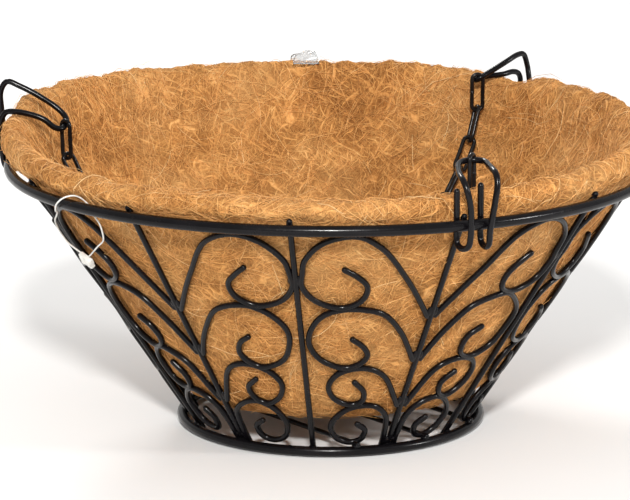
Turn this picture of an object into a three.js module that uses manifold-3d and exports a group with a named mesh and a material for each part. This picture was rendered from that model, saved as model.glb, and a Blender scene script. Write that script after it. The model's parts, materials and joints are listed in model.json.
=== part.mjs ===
// Hanging basket, 14 inch: a wire cradle (two rings, twelve ribs, twelve stacks of
// four scrolls, three cross bars) holding a moulded coir liner, with three wire clips
// on the rim, three chains and the hanging hook that gathers them.
//
// Millimetres, +Z up. Origin: centre of the basket's underside, z = 0 is the plane that
// the base ring rests on. An "angle" a is measured round +Z so that the point at angle a
// and radius r is (r sin a, -r cos a): a = 0 faces -Y, a = 90 faces +X.
import * as THREE from 'three';
import { mergeVertices } from 'three/addons/utils/BufferGeometryUtils.js';
import Module from 'manifold-3d';

const wasm = await Module();
wasm.setup();

// ---------------------------------------------------------------- driving dimensions
const RIM_R = 178;            // rim ring, centreline radius (14 in ring outside)
const RIM_WIRE = 6.0;         // rim wire diameter
const RIM_Z = 146;            // rim centreline height
const BASE_R = 83.75;         // base ring, centreline radius
const BASE_WIRE = 5.5;
const BASE_Z = 2.75;          // so the base ring's flat underside is on z = 0
const RIB_WIRE = 3.0;         // ribs and scrolls
const CLIP_WIRE = 2.8;        // clips and cross bars
const CONE_R0 = 77.95;        // radius of the cone that carries ribs and scrolls, at BASE_Z
const CONE_SLOPE = 0.65585;   // radius gained per mm of height
const RIB_Z0 = 1.7;           // rib's lower end
const RIB_Z1 = 150;           // rib's upper end, just above the rim's centre
const BAR_X = [-40, 0, 40];   // cross bars, spacing 40
const BAR_Z = 7.35;
const BAR_R = 85;             // bars end on the base ring at this radius
const PLAIN_A0 = -45;         // plain ribs at -45 + 60 k
const BRANCH_A0 = -15;        // branch ribs, where the scroll stems spring, at -15 + 60 k
const CLIP_A = { clip_front: -13.05, clip_back: 103.2, clip_left: 226.95 };
const CHAIN_D = 5;            // chain's solid stand-in diameter
const CHAIN_PITCH = 19;       // one link
const CHAIN_LEN = 361;        // 19 links
const HOOK_WIRE = 4;

// sections keep the area of the round wire they stand for
const OCT = 1.054, HEX = 1.1, PENT = 1.15;
const deg = Math.PI / 180;
const polar = (a, r, z) => new THREE.Vector3(r * Math.sin(a * deg), -r * Math.cos(a * deg), z);
const coneR = (zs) => CONE_R0 + CONE_SLOPE * zs;            // zs = height above BASE_Z
const onCone = (a, zs) => polar(a, coneR(zs), zs + BASE_Z);

// ---------------------------------------------------------------- materials
const steel = () => new THREE.MeshStandardMaterial({ color: 0x14130f, roughness: 0.28, metalness: 0.6 });
const coir = () => new THREE.MeshStandardMaterial({ color: 0xb07c45, roughness: 0.95, metalness: 0 });
const nylon = () => new THREE.MeshStandardMaterial({ color: 0xe8e6e0, roughness: 0.4, metalness: 0 });

// ---------------------------------------------------------------- helpers
const basket = new THREE.Group();
function add(name, geometry, material) {
  const mesh = new THREE.Mesh(geometry, material);
  mesh.name = name;
  basket.add(mesh);
  return mesh;
}

// regular polygon section
function polygon(n, r, phase = 0) {
  const s = new THREE.Shape();
  for (let i = 0; i < n; i++) {
    const t = (i / n) * 2 * Math.PI + phase;
    if (i === 0) s.moveTo(r * Math.cos(t), r * Math.sin(t));
    else s.lineTo(r * Math.cos(t), r * Math.sin(t));
  }
  s.closePath();
  return s;
}

// a wire's path: equal steps of the parameter, so control points set where the steps fall
class WireCurve extends THREE.Curve {
  constructor(points, map = (p) => p) {
    super();
    this.spline = new THREE.CatmullRomCurve3(points, false, 'centripetal');
    this.map = map;
  }
  getPoint(t, target = new THREE.Vector3()) {
    return target.copy(this.map(this.spline.getPoint(Math.min(1, Math.max(0, t)))));
  }
  getPointAt(t, target) { return this.getPoint(t, target); }
  getTangentAt(t, target) { return this.getTangent(t, target); }
}
function sweep(curve, steps, sides, r) {
  return new THREE.ExtrudeGeometry(polygon(sides, r), { steps, bevelEnabled: false, extrudePath: curve, curveSegments: 1 });
}
const wire = (points, steps, sides, r) => sweep(new WireCurve(points), steps, sides, r);

// ring of round wire as a closed lathe profile with flat top and bottom facets
function ring(R, z, r, sides, segments) {
  const prof = [];
  for (let i = 0; i <= sides; i++) {
    const t = ((i % sides) + 0.5) / sides * 2 * Math.PI;
    prof.push(new THREE.Vector2(R + r * Math.cos(t), r * Math.sin(t)));
  }
  const g = new THREE.LatheGeometry(prof, segments);
  g.rotateX(Math.PI / 2);
  g.translate(0, 0, z);
  return g;
}

function toSolid(geometry) {
  let g = geometry.clone();
  g.deleteAttribute('normal');
  g.deleteAttribute('uv');
  g = mergeVertices(g, 1e-5);
  return new wasm.Manifold(new wasm.Mesh({
    numProp: 3,
    vertProperties: new Float32Array(g.attributes.position.array),
    triVerts: new Uint32Array(g.index.array),
  }));
}
function fromSolid(solid) {
  const m = solid.getMesh();
  const g = new THREE.BufferGeometry();
  g.setAttribute('position', new THREE.BufferAttribute(new Float32Array(m.vertProperties), 3));
  g.setIndex(new THREE.BufferAttribute(new Uint32Array(m.triVerts), 1));
  g.computeVertexNormals();
  return g;
}
function union(geometries) {
  let s = toSolid(geometries[0]);
  for (let i = 1; i < geometries.length; i++) s = s.add(toSolid(geometries[i]));
  return fromSolid(s);
}

// ---------------------------------------------------------------- rings and cross bars
add('rim_ring', ring(RIM_R, RIM_Z, RIM_WIRE / 2 * OCT, 8, 48), steel());
add('base_ring', ring(BASE_R, BASE_WIRE / 2 * OCT * Math.cos(Math.PI / 8), BASE_WIRE / 2 * OCT, 8, 40), steel());
const barNames = { '-40': 'cross_bar_left', 0: 'cross_bar_middle', 40: 'cross_bar_right' };
for (const x of BAR_X) {
  const half = Math.sqrt(BAR_R * BAR_R - x * x);
  const g = wire([new THREE.Vector3(x, -half, BAR_Z), new THREE.Vector3(x, half, BAR_Z)], 1, 6, CLIP_WIRE / 2 * HEX);
  add(barNames[x], g, steel());
}

// ---------------------------------------------------------------- ribs
for (let k = 0; k < 6; k++) {
  const line = (a) => wire([onCone(a, RIB_Z0 - BASE_Z), onCone(a, RIB_Z1 - BASE_Z)], 1, 6, RIB_WIRE / 2 * HEX);
  add(`plain_rib_${k + 1}`, line(PLAIN_A0 + 60 * k), steel());
  add(`branch_rib_${k + 1}`, line(BRANCH_A0 + 60 * k), steel());
}

// ---------------------------------------------------------------- scrolls
// Each scroll is drawn as (u, zs): u degrees from the plain rib towards the branch rib,
// zs mm above the base ring's centre. It leaves the branch rib, rises, turns over at the
// top, comes down beside the plain rib and curls in. The last number is its step count.
const STEM = 4.15;                                  // stem's centre stands this far from the rib's
const beside = (zs, gap = STEM) => 30 - gap / (coneR(zs) * deg);
const SCROLLS = [
  { n: 16, pts: [[beside(82), 82], [beside(90), 90], [21.8, 112], [15.9, 132.5], [11.2, 138], [6, 134],
                 [2.3, 122], [1.75, 111], [4.0, 98.4], [9.6, 94.2], [13.5, 98.6], [14.2, 106.5], [12.2, 113], [9.8, 117.5]] },
  { n: 15, pts: [[beside(54), 54], [beside(62), 62], [24, 75.5], [18.8, 88], [14.6, 92.3], [10.2, 93.0], [6, 88.5],
                 [3.2, 79], [3.0, 70], [5.0, 60.2], [10.8, 55.4], [14.9, 57.6], [16.3, 62.8], [15.2, 68.5], [12.5, 73.5]] },
  { n: 13, pts: [[beside(24), 24], [beside(32), 32], [21.8, 49.9], [17.4, 53.9], [12.6, 54.3], [8.9, 49.5],
                 [7.3, 43], [8.4, 35.6], [12.6, 31.3], [16, 33.0], [16.8, 38.8], [14.3, 45]] },
  { n: 13, pts: [[beside(-0.6), -0.6], [beside(8), 8], [26.3, 21.8], [21.8, 28.8], [16.2, 30.5], [11.6, 26.8],
                 [8.6, 19], [9.6, 12], [13.6, 8.7], [18.0, 9.9], [18.8, 14.3], [16, 18.5]] },
];
const U_MM = 2.0;                                   // mean mm per degree, only to shape the spline
function scroll(def, plainA, side) {
  const flat = def.pts.map(([u, zs]) => new THREE.Vector3(u * U_MM, zs, 0));
  const curve = new WireCurve(flat, (p) => onCone(plainA + side * p.x / U_MM, p.y));
  return sweep(curve, def.n, 5, RIB_WIRE / 2 * PENT);
}
for (let k = 0; k < 6; k++) {
  const a = PLAIN_A0 + 60 * k;
  for (const side of [-1, 1]) {
    add(`scroll_stack_${k + 1}${side < 0 ? 'a' : 'b'}`, union(SCROLLS.map((d) => scroll(d, a, side))), steel());
  }
}

// ---------------------------------------------------------------- coir liner
const LINER = [
  [0, 20.5], [76, 20.5], [85, 22.5], [91.5, 27.5], [169.2, 146], [170.9, 148.8], [170.9, 160],
  [169.5, 166.5], [165, 168.5], [160.5, 166.5], [158.5, 152], [156, 146], [83.9, 36], [76, 31.5], [0, 31.5],
];
{
  const g = new THREE.LatheGeometry(LINER.map(([r, z]) => new THREE.Vector2(r, z)), 48);
  g.rotateX(Math.PI / 2);
  add('coir_liner', g, coir());
}
const FLOOR_Z = 31.5;
const wallR = (z) => 156 - 0.65585 * (146 - z);     // liner's inner face

// ---------------------------------------------------------------- clips
// One bent wire: two hooked ends grip the rim, each with its free leg inside the rim; the
// wire passes under the rim, rises outside it, bends inwards over the liner's lip and
// closes in a bow that holds the chain. Local axes of a point: [t along the rim, q outwards
// from the rim's centre, h up from it]. The strands differ a little, as hand-bent wire does.
const hook = (ti, tm, d, top) => [
  [ti, -5.15, top], [ti, -5.15, 3], [ti, -5.15, -1.2 - d],
  [ti, -4.0, -4.6 - d], [ti * 0.75 + tm * 0.25, -0.2, -6.3 - d],
  [ti * 0.25 + tm * 0.75, 3.9, -4.6 - d], [tm, 5.3, -0.5 - 0.4 * d],
];
const CLIPS = {
  clip_front: {
    eye: [10, -26.5, 27.4],
    pts: [...hook(-9.5, -6.6, 5.7, 17),
      [-7.6, 6.3, 12], [-9.3, 5.5, 20], [-9.6, 2.3, 24], [-8.2, -4, 25.4], [-4.6, -13, 26.2], [-0.6, -21, 27.2],
      [4, -25.6, 27.8], [10, -26.5, 28], [14.6, -22, 27.8], [12.6, -12.5, 27.4], [10, -3.5, 27.4],
      [8.8, 2.8, 26], [8.2, 5.7, 21.5], [6.6, 6.2, 12], ...hook(4.2, 4.4, 5.7, 19).reverse()],
  },
  clip_back: {
    eye: [10.2, -27, 23.6],
    pts: [...hook(-4.3, -4.3, 0, 17),
      [-3.6, 7.2, 14], [-1.6, 8.2, 23], [-0.2, 8.3, 29.5], [0, 4.6, 36.4], [0.4, -1, 36.6], [1.6, -9, 34],
      [5, -17, 29.9], [7.2, -22.6, 27.2], [8.6, -26, 25.6], [11.4, -27, 23.9], [12.4, -23.6, 23.7], [10, -18.6, 25.1],
      [6.4, -12.6, 25.5], [4.3, -8, 25.8], [3, -2, 26.4], [2.6, 3, 25], [3.2, 6.4, 20.5], [4.8, 6.9, 14.5],
      ...hook(9.3, 6.4, 0, 17).reverse()],
  },
  clip_left: {
    eye: [1.5, -29.7, 17.2],
    pts: [...hook(-9.5, -6.8, 0, 17),
      [-7.2, 6.6, 10], [-7.5, 7.8, 25], [-7.5, 8, 35.8], [-7.4, 4.4, 41.2], [-7.3, -2.8, 38.8], [-7.2, -14, 33.1],
      [-7, -23.6, 26.8], [-5.4, -28.4, 22.4], [-2, -29.9, 19.7], [2, -29.5, 18.2], [5, -27.8, 17.3], [6.8, -24.4, 18.3],
      [7.2, -18.6, 22.8], [7.1, -11, 25.5], [7, -3, 26.8], [6.9, 2.8, 26.4], [6.3, 6, 20], [5.2, 6, 9],
      ...hook(4.1, 4.3, 0, 17).reverse()],
  },
};
const clipFrame = (a) => ({
  et: new THREE.Vector3(Math.cos(a * deg), Math.sin(a * deg), 0),
  er: new THREE.Vector3(Math.sin(a * deg), -Math.cos(a * deg), 0),
  o: polar(a, RIM_R, RIM_Z),
});
function local(a, [t, q, h]) {
  const f = clipFrame(a);
  return f.o.clone().addScaledVector(f.et, t).addScaledVector(f.er, q).add(new THREE.Vector3(0, 0, h));
}
for (const [name, def] of Object.entries(CLIPS)) {
  const pts = def.pts.map((p) => local(CLIP_A[name], p));
  add(name, wire(pts, 44, 6, CLIP_WIRE / 2 * HEX), steel());
}

// ---------------------------------------------------------------- chains
// Each hangs from its clip's eye, lies down the liner's wall and runs in a flat whirl on
// the liner's floor to the hanging hook at the centre.
const CHAIN_Z = FLOOR_Z + 5.6;
function chainPoints(name, turn) {
  const c = CLIPS[name], a0 = CLIP_A[name];
  const top = local(a0, c.eye);
  const rE = Math.hypot(top.x, top.y);
  const aE = Math.atan2(top.x, -top.y) / deg;
  const zE = top.z - CLIP_WIRE / 2 * HEX - 0.9;
  const gap = 6.2;                                  // chain's centre to the wall, level
  const zT = 146 - (156 - gap - rE) / 0.65585;      // where the hanging run meets the wall
  const P = [];
  P.push(polar(aE, rE, zE));
  P.push(polar(aE, rE, zE - 0.5 * (zE - zT - 4)));
  P.push(polar(aE, rE - 0.5, zT + 4));
  const wall = [[zT - 9, 0], [124, 0], [106, 1.2], [90, 5], [73, 13.5], [61.5, 24], [51.5, 38], [43.8, 55]];
  for (const [z, d] of wall) if (z < zT - 8) P.push(polar(aE + d, wallR(z) - gap, z));
  const floor = [[71.5, 1.6], [66, 0.3], [60.5, 0], [55, 0], [49.5, 0], [44, 0], [40, 0]];
  floor.forEach(([r, up], i) => P.push(polar(aE + 75 + turn * i / (floor.length - 1), r, CHAIN_Z + up)));
  // last turn: an arc of radius 22 that brings the end to the hook's eye
  const aT = aE + 75 + turn, cx = 18;
  for (const s of [28, 56, 84, 112, 136]) {
    const px = cx + 22 * Math.cos(s * deg), py = 22 * Math.sin(s * deg);
    P.push(polar(aT + Math.atan2(py, px) / deg, Math.hypot(px, py), CHAIN_Z));
  }
  return P;
}
for (const [clip, chain] of [['clip_front', 'chain_front'], ['clip_back', 'chain_back'], ['clip_left', 'chain_left']]) {
  // the whirl's turn is what makes the chain its real length
  const path = (turn) => new THREE.CatmullRomCurve3(chainPoints(clip, turn), false, 'centripetal');
  let lo = 20, hi = 200;
  for (let i = 0; i < 30; i++) {
    const mid = (lo + hi) / 2;
    if (path(mid).getLength() < CHAIN_LEN) lo = mid; else hi = mid;
  }
  const smooth = path((lo + hi) / 2);
  add(chain, sweep(smooth, 30, 8, CHAIN_D / 2 * OCT), steel());
}

// ---------------------------------------------------------------- hanging hook
// Lies flat on the chains' ends: an eye, a shank and a crook, of one wire.
{
  const z = CHAIN_Z + CHAIN_D / 2 * OCT + HOOK_WIRE / 2 * HEX + 0.4, eyeR = 13, crookR = 15, turnBy = -20;
  const P = [];
  for (const t of [52, 90, 130, 170, 210, 250, 290, 325]) P.push([eyeR * Math.cos(t * deg), eyeR * Math.sin(t * deg)]);
  P.push([15, -1.6], [19.5, 0.4], [29, 0.2], [40, 0]);
  for (const t of [-60, -30, 0, 30, 60, 95, 130]) P.push([41 + crookR * Math.cos(t * deg), crookR + crookR * Math.sin(t * deg)]);
  const c = Math.cos(turnBy * deg), s = Math.sin(turnBy * deg);
  const pts = P.map(([x, y]) => new THREE.Vector3(c * x - s * y, s * x + c * y, z));
  add('hanging_hook', wire(pts, 30, 6, HOOK_WIRE / 2 * HEX), steel());
}

// ---------------------------------------------------------------- tag fastener
// A nylon loop round the rim with its moulded lock, hanging outside the scrolls.
{
  const P = [[-97.6, 152.6, 110.2], [-99.5, 154.2, 112], [-102.4, 157.4, 115.8], [-103.4, 160.4, 121], [-101.4, 165.4, 128.2],
    [-97, 170.4, 135], [-93.6, 175.6, 139], [-91.2, 181.2, 142.2], [-89.8, 183.2, 146.6], [-88.4, 181.4, 150.4], [-87, 177, 151.4],
    [-85.6, 173, 147.6], [-84, 172.7, 142], [-83, 171.6, 138], [-83.7, 167.6, 132], [-85, 163.9, 126.6], [-88.5, 160, 121],
    [-91.5, 157, 116.5], [-94.8, 153.8, 112.2], [-96.6, 152.6, 110.2]];
  const strand = wire(P.map(([a, r, zz]) => polar(a, r, zz)), 40, 6, 0.6);
  const lock = new THREE.BoxGeometry(9, 3, 7);
  lock.rotateY(-0.35);
  lock.rotateX(-33.3 * deg);
  lock.rotateZ(-97.3 * deg);
  const c = polar(-97.3, 152.4, 108);
  lock.translate(c.x, c.y, c.z);
  add('tag_loop', union([strand, lock]), nylon());
}

// ---------------------------------------------------------------- clear film loop
// A thin strap that stands up over the liner's lip at the back.
{
  const a = 147, w = 19;
  const path = [[2.6, -7.5], [4.6, -3], [5.4, 4], [4.2, 14], [1.5, 25], [-5, 33], [-13, 35.5], [-20, 32], [-24, 24], [-25.4, 14], [-25.8, 4]]
    .map(([q, h]) => new THREE.Vector3(RIM_R + q, 0, RIM_Z + h));
  const strip = new THREE.Shape();
  strip.moveTo(-w / 2, -0.4); strip.lineTo(w / 2, -0.4); strip.lineTo(w / 2, 0.4); strip.lineTo(-w / 2, 0.4); strip.closePath();
  const g = new THREE.ExtrudeGeometry(strip, { steps: 20, bevelEnabled: false, extrudePath: new WireCurve(path) });
  g.rotateZ((a - 90) * deg);
  add('clear_loop', g, nylon());
}

export default basket;
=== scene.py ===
import json
import math

import bpy
import numpy as np
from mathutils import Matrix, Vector

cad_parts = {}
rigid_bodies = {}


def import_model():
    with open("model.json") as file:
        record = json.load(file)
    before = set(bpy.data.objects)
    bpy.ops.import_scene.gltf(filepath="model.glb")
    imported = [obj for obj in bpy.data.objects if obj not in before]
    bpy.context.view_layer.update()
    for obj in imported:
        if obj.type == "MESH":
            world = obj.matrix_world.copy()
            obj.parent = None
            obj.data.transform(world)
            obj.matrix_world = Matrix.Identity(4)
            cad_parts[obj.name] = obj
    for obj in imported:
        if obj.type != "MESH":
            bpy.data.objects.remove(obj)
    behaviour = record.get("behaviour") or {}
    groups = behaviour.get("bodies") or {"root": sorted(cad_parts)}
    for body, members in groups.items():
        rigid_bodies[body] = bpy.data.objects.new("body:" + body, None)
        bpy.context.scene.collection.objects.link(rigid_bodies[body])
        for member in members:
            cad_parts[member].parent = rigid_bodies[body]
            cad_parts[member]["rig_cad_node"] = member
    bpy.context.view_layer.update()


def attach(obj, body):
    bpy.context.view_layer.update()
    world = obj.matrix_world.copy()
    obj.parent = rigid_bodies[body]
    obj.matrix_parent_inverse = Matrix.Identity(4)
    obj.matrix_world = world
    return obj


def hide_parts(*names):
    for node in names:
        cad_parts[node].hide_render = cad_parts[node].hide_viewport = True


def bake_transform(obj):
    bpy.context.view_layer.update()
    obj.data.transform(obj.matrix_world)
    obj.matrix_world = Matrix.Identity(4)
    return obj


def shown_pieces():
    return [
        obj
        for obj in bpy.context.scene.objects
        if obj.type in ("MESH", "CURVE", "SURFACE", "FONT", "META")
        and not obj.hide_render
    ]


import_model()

# ------------------------------------------------------------------ sizes, millimetres
RIM_R, RIM_WIRE, RIM_Z = 178.0, 6.0, 146.0
BASE_R, BASE_WIRE, BASE_Z = 83.75, 5.5, 2.75
RIB_WIRE, CLIP_WIRE, HOOK_WIRE = 3.0, 2.8, 4.0
CLIP_SHOW, RIB_SHOW = 3.3, 3.3                 # the enamel makes the wires look this thick
CONE_R0, CONE_SLOPE = 77.95, 0.65585
BAR_X, BAR_Z, BAR_R = (-40.0, 0.0, 40.0), 7.35, 85.0
PLAIN_A0, BRANCH_A0 = -45.0, -15.0
CLIP_A = {"clip_front": -13.05, "clip_back": 103.2, "clip_left": 226.95}
CHAIN_LEN, PITCH = 361.0, 19.0
FLOOR_Z = 31.5
CHAIN_Z = FLOOR_Z + 5.6
DEG = math.pi / 180
MM = 0.001


def polar(a, r, z):
    return np.array([r * math.sin(a * DEG), -r * math.cos(a * DEG), z])


def cone_r(zs):
    return CONE_R0 + CONE_SLOPE * zs


def on_cone(a, zs, lift=0.0):
    return polar(a, cone_r(zs) + lift, zs + BASE_Z)


# ------------------------------------------------------------------ camera
cam_data = bpy.data.cameras.new("camera")
cam = bpy.data.objects.new("camera", cam_data)
bpy.context.scene.collection.objects.link(cam)
cam.location = (-1.2014, -1.5323, 0.5397)
aim = Vector((0, 0, 0.08275))
cam.rotation_mode = "QUATERNION"
cam.rotation_quaternion = (aim - cam.location).to_track_quat("-Z", "Y")
cam_data.sensor_fit = "HORIZONTAL"
cam_data.sensor_width = 36
cam_data.lens = 204.11
cam_data.shift_x = -0.02474
cam_data.shift_y = 0.0361
cam_data.clip_start, cam_data.clip_end = 0.05, 50
bpy.context.scene.camera = cam


# ------------------------------------------------------------------ noise on arrays
def perlin(p, seed=0):
    """Gradient noise at points p (n, 3), about -1 to 1."""
    rng = np.random.default_rng(seed)
    perm = rng.permutation(256)
    perm = np.concatenate([perm, perm, perm])
    grad = rng.normal(size=(256, 3))
    grad /= np.linalg.norm(grad, axis=1, keepdims=True)
    q = np.floor(p).astype(int)
    f = p - q
    q &= 255
    u = f * f * f * (f * (f * 6 - 15) + 10)
    out = np.zeros(len(p))
    for dx in (0, 1):
        for dy in (0, 1):
            for dz in (0, 1):
                h = perm[perm[perm[(q[:, 0] + dx) & 255] + ((q[:, 1] + dy) & 255)] + ((q[:, 2] + dz) & 255)]
                g = grad[h]
                d = ((f - (dx, dy, dz)) * g).sum(1)
                w = (
                    (u[:, 0] if dx else 1 - u[:, 0])
                    * (u[:, 1] if dy else 1 - u[:, 1])
                    * (u[:, 2] if dz else 1 - u[:, 2])
                )
                out += d * w
    return out * 1.6


# ------------------------------------------------------------------ curves
def catmull(points, n):
    """n + 1 points on a centripetal Catmull-Rom curve, equal steps of its parameter."""
    P = np.array(points, float)
    k = len(P) - 1
    out = []
    for t in np.linspace(0, k, n + 1):
        i = min(int(t), k - 1)
        w = t - i
        p1, p2 = P[i], P[i + 1]
        p0 = P[i - 1] if i > 0 else 2 * P[0] - P[1]
        p3 = P[i + 2] if i + 2 <= k else 2 * P[k] - P[k - 1]
        d0, d1, d2 = (
            max(1e-4, np.linalg.norm(b - a) ** 0.5) for a, b in ((p0, p1), (p1, p2), (p2, p3))
        )
        t1 = ((p1 - p0) / d0 - (p2 - p0) / (d0 + d1) + (p2 - p1) / d1) * d1
        t2 = ((p2 - p1) / d1 - (p3 - p1) / (d1 + d2) + (p3 - p2) / d2) * d1
        out.append(
            p1
            + t1 * w
            + (-3 * p1 + 3 * p2 - 2 * t1 - t2) * w * w
            + (2 * p1 - 2 * p2 + t1 + t2) * w**3
        )
    return np.array(out)


def even(line, step):
    """The line again with points step apart."""
    along = np.concatenate([[0], np.cumsum(np.linalg.norm(np.diff(line, axis=0), axis=1))])
    at = np.linspace(0, along[-1], max(2, int(round(along[-1] / step)) + 1))
    return np.stack([np.interp(at, along, line[:, k]) for k in range(3)], axis=1)


def at_length(line, s):
    along = np.concatenate([[0], np.cumsum(np.linalg.norm(np.diff(line, axis=0), axis=1))])
    return np.array([np.interp(s, along, line[:, k]) for k in range(3)])


# ------------------------------------------------------------------ mesh making
class Builder:
    """Collects vertices and faces, in millimetres, of one piece."""

    def __init__(self):
        self.v, self.f, self.tone = [], [], []
        self.n = 0

    def add(self, verts, faces, tone=None):
        verts = np.asarray(verts, float)
        faces = np.asarray(faces, int)
        self.v.append(verts)
        for k in np.unique((faces >= 0).sum(1)):
            pick = faces[(faces >= 0).sum(1) == k][:, :k]
            self.f.append(pick + self.n)
        if tone is not None:
            self.tone.append(np.broadcast_to(np.asarray(tone, float), (len(verts),)))
        self.n += len(verts)

    def object(self, name, material, smooth=True):
        v = np.concatenate(self.v) * MM
        loops = np.concatenate([f.ravel() for f in self.f])
        sizes = np.concatenate([np.full(len(f), f.shape[1]) for f in self.f])
        me = bpy.data.meshes.new(name)
        me.vertices.add(len(v))
        me.vertices.foreach_set("co", v.astype(np.float32).ravel())
        me.loops.add(len(loops))
        me.loops.foreach_set("vertex_index", loops.astype(np.int32))
        me.polygons.add(len(sizes))
        me.polygons.foreach_set("loop_start", np.concatenate([[0], np.cumsum(sizes)[:-1]]).astype(np.int32))
        me.polygons.foreach_set("use_smooth", np.full(len(sizes), smooth))
        me.update(calc_edges=True)
        me.validate()
        if self.tone:
            att = me.attributes.new("tone", "FLOAT", "POINT")
            att.data.foreach_set("value", np.concatenate(self.tone).astype(np.float32))
        o = bpy.data.objects.new(name, me)
        me.materials.append(material)
        bpy.context.scene.collection.objects.link(o)
        return o


def tube(b, line, r, sides=12, closed=False, start_up=None, caps=True, wobble=0.0, seed=1, tone=None):
    """A round wire along line (mm) with rounded ends, or a closed ring."""
    line = np.asarray(line, float)
    n = len(line)
    if closed:
        tan = np.roll(line, -1, 0) - np.roll(line, 1, 0)
    else:
        tan = np.gradient(line, axis=0)
    tan /= np.linalg.norm(tan, axis=1, keepdims=True)
    up = np.array(start_up if start_up is not None else (0, 0, 1.0), float)
    if abs(up @ tan[0]) > 0.9:
        up = np.array([1.0, 0, 0])
    rings, radius = [], np.full(n, float(r)) if np.isscalar(r) else np.asarray(r, float)
    if wobble:
        radius = radius * (1 + wobble * perlin(line / 6.0, seed))
    nrm = up - (up @ tan[0]) * tan[0]
    nrm /= np.linalg.norm(nrm)
    frames = []
    for i in range(n):
        if i:
            nrm = nrm - (nrm @ tan[i]) * tan[i]
            nrm /= np.linalg.norm(nrm)
        frames.append((nrm, np.cross(tan[i], nrm)))
    ang = np.arange(sides) / sides * 2 * math.pi
    ca, sa = np.cos(ang)[:, None], np.sin(ang)[:, None]

    def ring_at(c, fr, rad):
        return c + rad * (ca * fr[0] + sa * fr[1])

    centres, fr_list, rads = list(line), list(frames), list(radius)
    poles = None
    if not closed and caps:
        head, tail = [], []
        for k in (0.38, 0.72, 0.93):
            head.append((line[0] - tan[0] * radius[0] * k, frames[0], radius[0] * math.sqrt(1 - k * k)))
            tail.append((line[-1] + tan[-1] * radius[-1] * k, frames[-1], radius[-1] * math.sqrt(1 - k * k)))
        centres = [h[0] for h in head[::-1]] + centres + [t[0] for t in tail]
        fr_list = [h[1] for h in head[::-1]] + fr_list + [t[1] for t in tail]
        rads = [h[2] for h in head[::-1]] + rads + [t[2] for t in tail]
        poles = (line[0] - tan[0] * radius[0], line[-1] + tan[-1] * radius[-1])
    verts = np.concatenate([ring_at(c, f, q) for c, f, q in zip(centres, fr_list, rads)])
    m = len(centres)
    faces = []
    rows = m if closed else m - 1
    j = np.arange(sides)
    for i in range(rows):
        a, c = i * sides, ((i + 1) % m) * sides
        faces.append(np.stack([a + j, a + (j + 1) % sides, c + (j + 1) % sides, c + j], 1))
    faces = np.concatenate(faces)
    if not closed:
        if poles is None:
            poles = (line[0], line[-1])
        verts = np.concatenate([verts, [poles[0], poles[1]]])
        a, z = len(verts) - 2, len(verts) - 1
        pad = np.full(sides, -1)
        first = np.stack([(j + 1) % sides, j, np.full(sides, a), pad], 1)
        base = (m - 1) * sides
        last = np.stack([base + j, base + (j + 1) % sides, np.full(sides, z), pad], 1)
        faces = np.concatenate([faces, first, last])
    b.add(verts, faces, tone)


def bead(b, centre, axes, radii, seed, rough=0.16):
    """A weld bead: a lumpy ellipsoid with its own axes (rows) and radii, mm."""
    axes = np.array(axes, float)
    axes /= np.linalg.norm(axes, axis=1, keepdims=True)
    nu, nv = 14, 9
    verts, faces = [], []
    for i in range(1, nv):
        t = math.pi * i / nv
        for k in range(nu):
            u = 2 * math.pi * k / nu
            verts.append((math.sin(t) * math.cos(u), math.sin(t) * math.sin(u), math.cos(t)))
    verts += [(0, 0, 1), (0, 0, -1)]
    d = np.array(verts)
    scale = 1 + rough * perlin(d * 1.7 + seed * 3.17, seed % 7 + 3)
    v = np.array(centre) + (d * np.array(radii) * scale[:, None]) @ axes
    j = np.arange(nu)
    for i in range(nv - 2):
        a, c = i * nu, (i + 1) * nu
        faces.append(np.stack([a + j, c + j, c + (j + 1) % nu, a + (j + 1) % nu], 1))
    top, bot = len(d) - 2, len(d) - 1
    pad = np.full(nu, -1)
    faces.append(np.stack([j, (j + 1) % nu, np.full(nu, top), pad], 1))
    base = (nv - 2) * nu
    faces.append(np.stack([base + (j + 1) % nu, base + j, np.full(nu, bot), pad], 1))
    b.add(v, np.concatenate(faces))


# ------------------------------------------------------------------ material helpers
def new_material(name):
    m = bpy.data.materials.new(name)
    m.use_nodes = True
    nt = m.node_tree
    bsdf = nt.nodes["Principled BSDF"]
    return m, nt, bsdf


def node(nt, kind, **values):
    n = nt.nodes.new(kind)
    for k, v in values.items():
        if k in n.inputs:
            n.inputs[k].default_value = v
        else:
            setattr(n, k, v)
    return n


def noise(nt, vec, scale, detail=3.0, rough=0.55, distortion=0.0):
    n = nt.nodes.new("ShaderNodeTexNoise")
    n.inputs["Scale"].default_value = scale
    n.inputs["Detail"].default_value = detail
    n.inputs["Roughness"].default_value = rough
    n.inputs["Distortion"].default_value = distortion
    nt.links.new(vec, n.inputs["Vector"])
    return n.outputs["Fac"]


def ramp(nt, fac, stops):
    n = nt.nodes.new("ShaderNodeValToRGB")
    while len(n.color_ramp.elements) < len(stops):
        n.color_ramp.elements.new(0.5)
    for e, (pos, col) in zip(n.color_ramp.elements, stops):
        e.position = pos
        e.color = (*col, 1) if len(col) == 3 else col
    nt.links.new(fac, n.inputs["Fac"])
    return n.outputs["Color"]


def remap(nt, fac, a, b, c, d):
    n = nt.nodes.new("ShaderNodeMapRange")
    n.inputs["From Min"].default_value, n.inputs["From Max"].default_value = a, b
    n.inputs["To Min"].default_value, n.inputs["To Max"].default_value = c, d
    nt.links.new(fac, n.inputs["Value"])
    return n.outputs["Result"]


def math_node(nt, op, a, b=None):
    n = nt.nodes.new("ShaderNodeMath")
    n.operation = op
    for i, x in enumerate((a, b)):
        if x is None:
            continue
        if isinstance(x, (int, float)):
            n.inputs[i].default_value = x
        else:
            nt.links.new(x, n.inputs[i])
    return n.outputs[0]


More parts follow.
